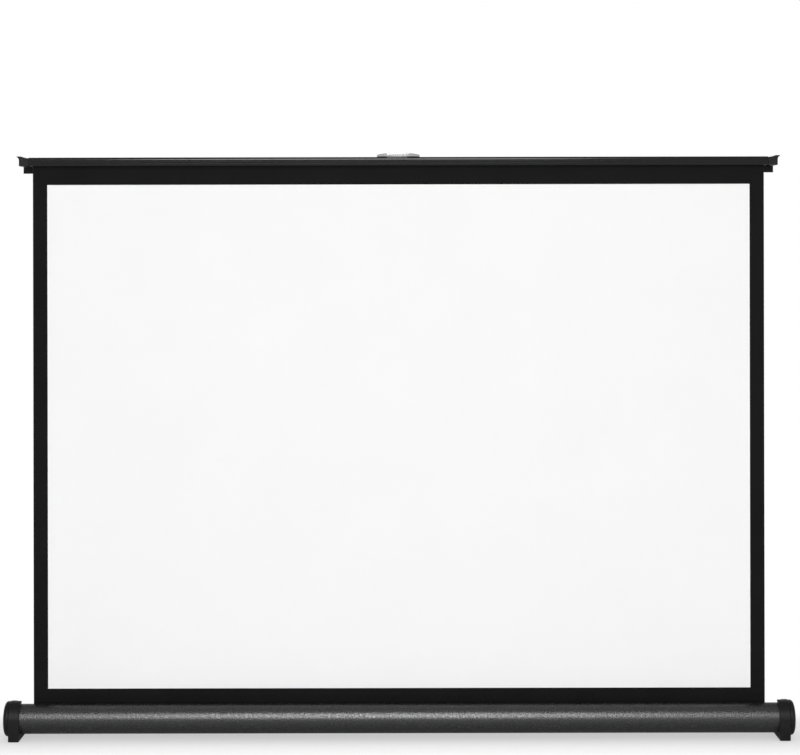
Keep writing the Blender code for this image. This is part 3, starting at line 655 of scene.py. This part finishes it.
def make_fabric():
    """The two stretched cloths and the wound turns."""
    backing_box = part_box("screen_backing")
    view_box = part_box("viewing_surface")
    bottom, top = backing_box[0][2], backing_box[1][2]
    backing_mesh = sheet_mesh(backing_box, *BACKING_GRID, bottom, top)
    backing = settle("backing_cloth", backing_mesh, BLACK_FABRIC, "base",
                     ["screen_backing"])
    view_mesh = sheet_mesh(view_box, *VIEW_GRID, bottom, top)
    view = settle("viewing_cloth", view_mesh, WHITE_FABRIC, "base",
                  ["viewing_surface"])
    for obj, box, band in ((backing, backing_box, FOLDED_BACKING), (view, view_box, FOLDED_VIEW)):
        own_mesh(obj)
    make_wraps()


def make_wraps():
    """The turns of fabric left on the roller: one spiral band."""
    steps = STEPS_PER_TURN * WRAP_TURNS
    start, end = WRAP_INNER + CLOTH_THICKNESS / 2, WRAP_OUTER - CLOTH_THICKNESS / 2
    sides = {1: [], -1: []}
    for i in range(steps + 1):
        radius = start + (end - start) * i / steps
        angle = -2 * math.pi * WRAP_TURNS * (steps - i) / steps
        for sign, side in sides.items():
            reach = radius + sign * CLOTH_THICKNESS / 2
            point = (ROLLER_DEPTH + reach * math.cos(angle), ROLLER_Z + reach * math.sin(angle))
            side.append(point)
    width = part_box("fabric_wraps")[1][0]
    bm = along_x(sides[1] + sides[-1][::-1], -width, width)
    wraps = settle("wound_cloth", bm, BLACK_FABRIC, "roller", ["fabric_wraps"])


# Top bar

def make_bar():
    """An upside-down channel with two grooves in its front and a seat for the handle."""
    front_tip, rear_tip, root, groove_edge = 0.0004, 0.0005, 0.0008, 0.00015  # corner radii
    front = BAR_TOP - FRONT_SKIRT
    rear = BAR_TOP - REAR_SKIRT
    corners = [(BAR_FRONT, front, front_tip)]
    for drop in GROOVE_DROPS:
        low, high = BAR_TOP - drop - GROOVE / 2, BAR_TOP - drop + GROOVE / 2
        corners += [(BAR_FRONT, low, groove_edge), (BAR_FRONT + GROOVE, low)]
        corners += [(BAR_FRONT + GROOVE, high), (BAR_FRONT, high, groove_edge)]
    corners += arc((BAR_FRONT + BAR_EDGE, BAR_TOP - BAR_EDGE), BAR_EDGE, 180, 90, 12)
    corners += arc((BAR_REAR - BAR_EDGE, BAR_TOP - BAR_EDGE), BAR_EDGE, 90, 0, 12)
    corners += [(BAR_REAR, rear, rear_tip), (BAR_REAR - SKIRT_WALL, rear, rear_tip)]
    corners += [(BAR_REAR - SKIRT_WALL, BAR_TOP - BAR_PLATE, root)]
    corners += [(BAR_FRONT + SKIRT_WALL, BAR_TOP - BAR_PLATE, root)]
    corners += [(BAR_FRONT + SKIRT_WALL, front, front_tip)]
    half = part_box("top_bar")[1][0]
    seat = oval(SUNK_HALF_X + GAP, SUNK_HALF_Y + GAP, HANDLE_POWER)
    cut = along_z(seat, HANDLE_DEPTH, BAR_TOP - CUT_REACH, BAR_TOP + CUT_REACH)
    bm = carve(along_x(rounded(corners), -half, half), [("DIFFERENCE", cut)])
    even(settle("bar_extrusion", bm, SATIN_BLACK, "top_bar", ["top_bar"]))


def make_bar_end(side, word):
    """A moulded end with a spigot in the bar, whose top rises to a small lip."""
    over = 0.01  # how far the two crossed outlines reach past each other
    section = [(BAR_FRONT, BAR_TOP - FRONT_SKIRT)]
    section += [(BAR_FRONT, BAR_TOP + over), (BAR_REAR, BAR_TOP + over)]
    section += [(BAR_REAR, BAR_TOP - REAR_SKIRT), (BAR_REAR - SKIRT_WALL, BAR_TOP - REAR_SKIRT)]
    section += [(BAR_REAR - SKIRT_WALL, BAR_TOP - FRONT_SKIRT)]
    lip = END_WIDTH + END_LIP
    below = -REAR_SKIRT - over
    shape = [(0, below), (0, -END_DIP)]
    for i in range(9):
        rise = (END_DIP + END_RISE) * (1 - math.cos(math.pi * i / 8)) / 2
        share = END_DIP_SHARE + (END_RISE_SHARE - END_DIP_SHARE) * i / 8
        shape.append((lip * share, rise - END_DIP))
    shape += [(lip, END_RISE)]
    hollow = (END_UNDERCUT, END_RISE - END_LIP_EDGE - END_UNDERCUT)
    undercut = arc(hollow, END_UNDERCUT, 90, 180, 10)
    shape += [(END_WIDTH + END_LIP * x / END_UNDERCUT, z) for x, z in undercut]
    shape += [(END_WIDTH, below)]
    shape = [(side * (END_INNER + x), BAR_TOP + z) for x, z in shape]
    low, high = sorted((side * (END_INNER - over), side * (END_INNER + lip + over)))
    cut = along_y(shape, BAR_FRONT - over, BAR_REAR + over)
    front, rear = BAR_FRONT + SKIRT_WALL + GAP, BAR_REAR - SKIRT_WALL - GAP
    floor, roof = BAR_TOP - FRONT_SKIRT, BAR_TOP - BAR_PLATE - GAP
    plug = [(front, floor), (front, roof), (rear, roof), (rear, floor)]
    spigot = along_x(plug, *sorted((side * SPIGOT_START, side * (END_INNER + GAP))))
    bm = carve(along_x(section, low, high), [("INTERSECT", cut), ("UNION", spigot)])
    end = settle("bar_end_moulding_" + word, bm, CAP_PLASTIC, "top_bar",
                 ["bar_end_" + word])
    soften(end, BAR_END_SOFT_EDGE)


def make_handle():
    """The oval grip with two finger wells, its edges melted round."""
    rim = oval(HANDLE_LENGTH / 2, SUNK_HALF_Y + HANDLE_RIM, HANDLE_POWER)
    top = BAR_TOP + HANDLE_RISE_MIDDLE + CUT_REACH
    bm = along_z(rim, HANDLE_DEPTH, BAR_TOP + GAP, top)
    rise = HANDLE_RISE_MIDDLE - HANDLE_RISE_END
    crown_radius = (HANDLE_LENGTH**2 / 4 + rise**2) / (2 * rise)
    span = math.degrees(math.asin((HANDLE_LENGTH / 2 + CUT_REACH) / crown_radius))
    crown_centre = (0, BAR_TOP + HANDLE_RISE_MIDDLE - crown_radius)
    crown = arc(crown_centre, crown_radius, 90 + span, 90 - span, 48)
    crown += [(crown[-1][0], top + CUT_REACH), (crown[0][0], top + CUT_REACH)]
    sunk = oval(SUNK_HALF_X, SUNK_HALF_Y, HANDLE_POWER)
    floor = BAR_TOP - HANDLE_SINK
    steps = [("DIFFERENCE", along_y(crown, -CUT_REACH, 2 * HANDLE_DEPTH + CUT_REACH))]
    steps.append(("UNION", along_z(sunk, HANDLE_DEPTH, floor, BAR_TOP + HANDLE_RISE_END / 2)))
    half_x = (SUNK_HALF_X - WELL_WALL - WELL_WAIST / 2) / 2
    for side in (-1, 1):
        well = oval(half_x, SUNK_HALF_Y - WELL_WALL, 2, side * (WELL_WAIST / 2 + half_x))
        hole = along_z(well, HANDLE_DEPTH, floor + WELL_WALL, top + CUT_REACH)
        steps.append(("DIFFERENCE", hole))
    handle = settle("handle_grip", carve(bm, steps), SILVER, "top_bar", ["handle"], 180)
    remesh = handle.modifiers.new("melt", "REMESH")
    remesh.mode = "VOXEL"
    remesh.voxel_size = HANDLE_VOXEL
    remesh.use_smooth_shade = True
    smooth = handle.modifiers.new("smooth", "SMOOTH")
    smooth.factor = 0.5
    smooth.iterations = 8


# Lattice

def centre_of(node):
    """The (x, z) centre of a node's box."""
    low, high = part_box(node)
    return ((low[0] + high[0]) / 2, (low[2] + high[2]) / 2)


def make_arm(name, nodes):
    """A flat bar with rounded edges and holes, through the centres of three pins."""
    first, middle, last = (Vector(centre_of(node)) for node in nodes)
    low, high = (corner[1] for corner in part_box(name))
    along = (last - first).normalized()
    across = Vector((-along.y, along.x))
    half = (last - first).length / 2
    radius, hole, edge = 0.0045, 0.0023, 0.0003
    thick = high - low

    def plane(y, u, v):
        point = middle + along * u + across * v
        return (point.x, y, point.y)

    def outer(inset):
        r = radius - inset
        return arc((half, 0), r, -90, 90, 20) + arc((-half, 0), r, 90, 270, 20)

    def bore(u, inset):
        return arc((u, 0), hole + inset, 0, 360, 24)[:-1]

    bm = bmesh.new()
    bends = (0, 0.52, 1.05, math.pi / 2)
    profile = [(edge * (1 - math.sin(t)), edge * (1 - math.cos(t))) for t in bends]
    levels = [(inset, low + drop) for inset, drop in profile]
    levels += [(inset, low + thick - drop) for inset, drop in reversed(profile)]
    for path in (outer, *(lambda inset, u=u: bore(u, inset) for u in (-half, 0, half))):
        rings = [loop(bm, [plane(y, u, v) for u, v in path(inset)]) for inset, y in levels]
        for one, two in zip(rings, rings[1:]):
            skin(bm, one, two)
    for y in (low, high):
        rim = [line for line in bm.edges
               if line.is_boundary and all(abs(vert.co.y - y) < 1e-7 for vert in line.verts)]
        bmesh.ops.triangle_fill(bm, edges=rim, use_beauty=True)
    even(settle(name + "_bar", bm, ARM_STEEL, name, [name]))


def make_pin(node, body):
    """A rivet with a domed head and tail, inside the pin's own box."""
    low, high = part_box(node)
    x, z = centre_of(node)
    reach = (high[0] - low[0]) / 2
    shank, head, thick, dome, rim = 0.002, 0.0034, 0.0012, 0.0008, 0.0009
    bends = (0.35, 0.7, 1.05, 1.35)
    profile = [(0, low[1])]
    profile += [(head * math.sin(t), low[1] + dome * (1 - math.cos(t))) for t in bends]
    profile += [(head, low[1] + rim), (head, low[1] + thick), (shank, low[1] + thick)]
    profile += [(shank, high[1] - thick), (reach, high[1] - thick), (reach, high[1] - rim)]
    profile += [(reach * math.sin(t), high[1] - dome * (1 - math.cos(t))) for t in bends[::-1]]
    profile += [(0, high[1])]

    def place(along, a, b):
        return (x + a, along, z + b)

    even(settle(node + "_rivet", lathe(profile, place, 32), PIN_STEEL, body, [node]))


def dress(node, material, edge=0.0):
    """Gives a node that stays its material, and slightly rounded edges."""
    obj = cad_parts[node]
    for place in obj.material_slots:
        place.link = "OBJECT"
        place.material = material
    if edge:
        obj.modifiers.new("weld", "WELD").merge_threshold = 1e-6
        soften(obj, edge, 2)


make_housing()
for side, word in ((-1, "left"), (1, "right")):
    make_cap(side, word)
    make_disc(side, word)
    make_bar_end(side, word)
make_fabric()
make_bar()
make_handle()

ARMS = {
    "arm_a1": ("lower_pivot_pin", "lower_centre_pin", "right_elbow_pin"),
    "arm_b1": ("lower_slide_pin", "lower_centre_pin", "left_elbow_pin"),
    "arm_a2": ("left_elbow_pin", "upper_centre_pin", "upper_slide_pin"),
    "arm_b2": ("right_elbow_pin", "upper_centre_pin", "upper_pivot_pin"),
}
for arm, pins in ARMS.items():
    make_arm(arm, pins)

PINS = {
    "lower_pivot_pin": "base",
    "lower_centre_pin": "arm_a1",
    "right_elbow_pin": "arm_a1",
    "left_elbow_pin": "arm_b1",
    "lower_slide_pin": "arm_b1",
    "upper_centre_pin": "arm_a2",
    "upper_slide_pin": "arm_a2",
    "upper_pivot_pin": "top_bar",
}
for pin, body in PINS.items():
    make_pin(pin, body)

NYLON_NODES = (
    "lower_centre_washer", "right_elbow_washer", "left_elbow_washer", "upper_centre_washer",
    "lower_pivot_spacer", "upper_slide_spacer", "lower_slide_bush", "upper_slide_bush",
    "roller_bearing_left", "roller_bearing_right", "roller_plug_left", "roller_plug_right",
)
for node in NYLON_NODES:
    dress(node, NYLON)
for node in ("lower_rail", "upper_rail"):
    dress(node, ARM_STEEL, 0.0002)
for place in ("front_left", "rear_left", "front_right", "rear_right"):
    dress("foot_pad_" + place, RUBBER, 0.0003)
dress("roller_tube", ROLLER_METAL)
dress("spring_rod", PIN_STEEL)
dress("roller_spring", PIN_STEEL)
dress("fabric_strip", CAP_PLASTIC, 0.0002)


# Floor, light and camera

FLOOR_HALF = 40.0
FLOOR_COLOUR = (0.93, 0.93, 0.93, 1)
SHADOW_REACH = 0.085  # how far round the part the floor shows its shadow
SHADOW_DEPTH = 0.5  # how much of it shows to the camera
MIRRORED_SHADOW_DEPTH = 1.0  # and in reflections
WALL_LEVEL = 1.0
CEILING_LEVEL = 0.4
CEILING_STARTS = 0.2  # sines of the elevations between which wall turns to ceiling
CEILING_ENDS = 0.75
CAMERA_PLACE = (0, -2.3127, 0.5576)
CAMERA_ROLL = 0.0019
CAMERA_LENS = 89.37
SENSOR_WIDTH = 36.0
CAMERA_SHIFT = (0.0019, -0.153)


def seen_directly(tree):
    """1 for a ray that shows the background: from the camera, a gloss or a glass."""
    path = tree.nodes.new("ShaderNodeLightPath")
    value = path.outputs["Is Camera Ray"]
    for other in ("Is Glossy Ray", "Is Transmission Ray"):
        most = tree.nodes.new("ShaderNodeMath")
        most.operation = "MAXIMUM"
        tree.links.new(value, most.inputs[0])
        tree.links.new(path.outputs[other], most.inputs[1])
        value = most.outputs[0]
    return value


def make_floor():
    """A pale floor that keeps the part's shadow near it and turns to plain white around that."""
    mesh = bpy.data.meshes.new("floor")
    corners = [(FLOOR_HALF * x, FLOOR_HALF * y, 0) for x, y in ((-1, -1), (1, -1), (1, 1), (-1, 1))]
    mesh.from_pydata(corners, [], [(0, 1, 2, 3)])
    floor = bpy.data.objects.new("floor", mesh)
    SCENE.collection.objects.link(floor)
    made = bpy.data.materials.new("pale_floor")
    made.use_nodes = True
    tree = made.node_tree
    tree.nodes.clear()
    mesh.materials.append(made)

    def add(kind, *inputs):
        node = tree.nodes.new("ShaderNode" + kind)
        for i, value in enumerate(inputs):
            if isinstance(value, bpy.types.NodeSocket):
                tree.links.new(value, node.inputs[i])
            else:
                node.inputs[i].default_value = value
        return node

    def compute(operation, *inputs):
        node = add("Math", *inputs)
        node.operation = operation
        return node.outputs[0]

    parts = add("SeparateXYZ", add("NewGeometry").outputs["Position"])
    low, high = CAD_BOX
    squares = []
    for i in (0, 1):
        middle, reach = (low[i] + high[i]) / 2, (high[i] - low[i]) / 2
        off = compute("ABSOLUTE", compute("SUBTRACT", parts.outputs[i], middle))
        beyond = compute("MAXIMUM", compute("SUBTRACT", off, reach), 0.0)
        squares.append(compute("POWER", beyond, 2.0))
    distance = compute("SQRT", compute("ADD", *squares))
    camera = add("LightPath").outputs["Is Camera Ray"]
    depth = add("MapRange", camera, 0.0, 1.0, 1 - MIRRORED_SHADOW_DEPTH, 1 - SHADOW_DEPTH)
    fade = add("MapRange", distance, 0.0, SHADOW_REACH, depth.outputs[0], 1.0)
    fade.interpolation_type = "SMOOTHSTEP"
    share = compute("MULTIPLY", fade.outputs[0], seen_directly(tree))
    diffuse = add("BsdfDiffuse", FLOOR_COLOUR)
    white = add("Emission", (1, 1, 1, 1), 1.0)
    mixed = add("MixShader", share, diffuse.outputs[0], white.outputs[0])
    add("OutputMaterial", mixed.outputs[0])


def make_world():
    """White walls under a greyer ceiling."""
    world = bpy.data.worlds.new("studio")
    SCENE.world = world
    world.use_nodes = True
    tree = world.node_tree
    background = tree.nodes["Background"]
    background.inputs["Color"].default_value = (1, 1, 1, 1)
    parts = tree.nodes.new("ShaderNodeSeparateXYZ")
    tree.links.new(tree.nodes.new("ShaderNodeTexCoord").outputs["Generated"], parts.inputs[0])
    studio = tree.nodes.new("ShaderNodeMapRange")
    studio.interpolation_type = "SMOOTHSTEP"
    tree.links.new(parts.outputs["Z"], studio.inputs["Value"])
    studio.inputs["From Min"].default_value = CEILING_STARTS
    studio.inputs["From Max"].default_value = CEILING_ENDS
    studio.inputs["To Min"].default_value = WALL_LEVEL
    studio.inputs["To Max"].default_value = CEILING_LEVEL
    tree.links.new(studio.outputs[0], background.inputs["Strength"])


def make_lamp(name, location, target, size, power, diffuse=True, gloss=True):
    """A soft box turned to a target. It lights diffuse surfaces, glossy ones or both."""
    lamp = bpy.data.lights.new(name, "AREA")
    lamp.shape = "RECTANGLE"
    lamp.size, lamp.size_y = size
    lamp.energy = power
    obj = bpy.data.objects.new(name, lamp)
    obj.location = location
    obj.rotation_euler = (Vector(target) - Vector(location)).to_track_quat("-Z", "Y").to_euler()
    obj.visible_diffuse = diffuse
    obj.visible_glossy = gloss
    SCENE.collection.objects.link(obj)


def make_camera():
    data = bpy.data.cameras.new("camera")
    data.lens = CAMERA_LENS
    data.sensor_width = SENSOR_WIDTH
    data.shift_x, data.shift_y = CAMERA_SHIFT
    camera = bpy.data.objects.new("camera", data)
    camera.location = CAMERA_PLACE
    camera.rotation_euler = (math.pi / 2, CAMERA_ROLL, 0)
    SCENE.collection.objects.link(camera)
    SCENE.camera = camera


make_floor()
make_world()
make_lamp("gloss_softbox", location=(-0.19, -5.62, 3.3), target=(0, 0, 0.03), size=(1.9, 3.8),
          power=372.0, diffuse=False)
make_lamp("front_softbox", location=(0, -2.6, 0.6), target=(0, 0, 0.2), size=(2.4, 1.2),
          power=22.6, gloss=False)
make_lamp("top_softbox", location=(0, -0.5, 2.4), target=(0, -0.1, 0), size=(2.4, 2.0), power=6.0)
make_camera()
SCENE.view_settings.view_transform = "Standard"
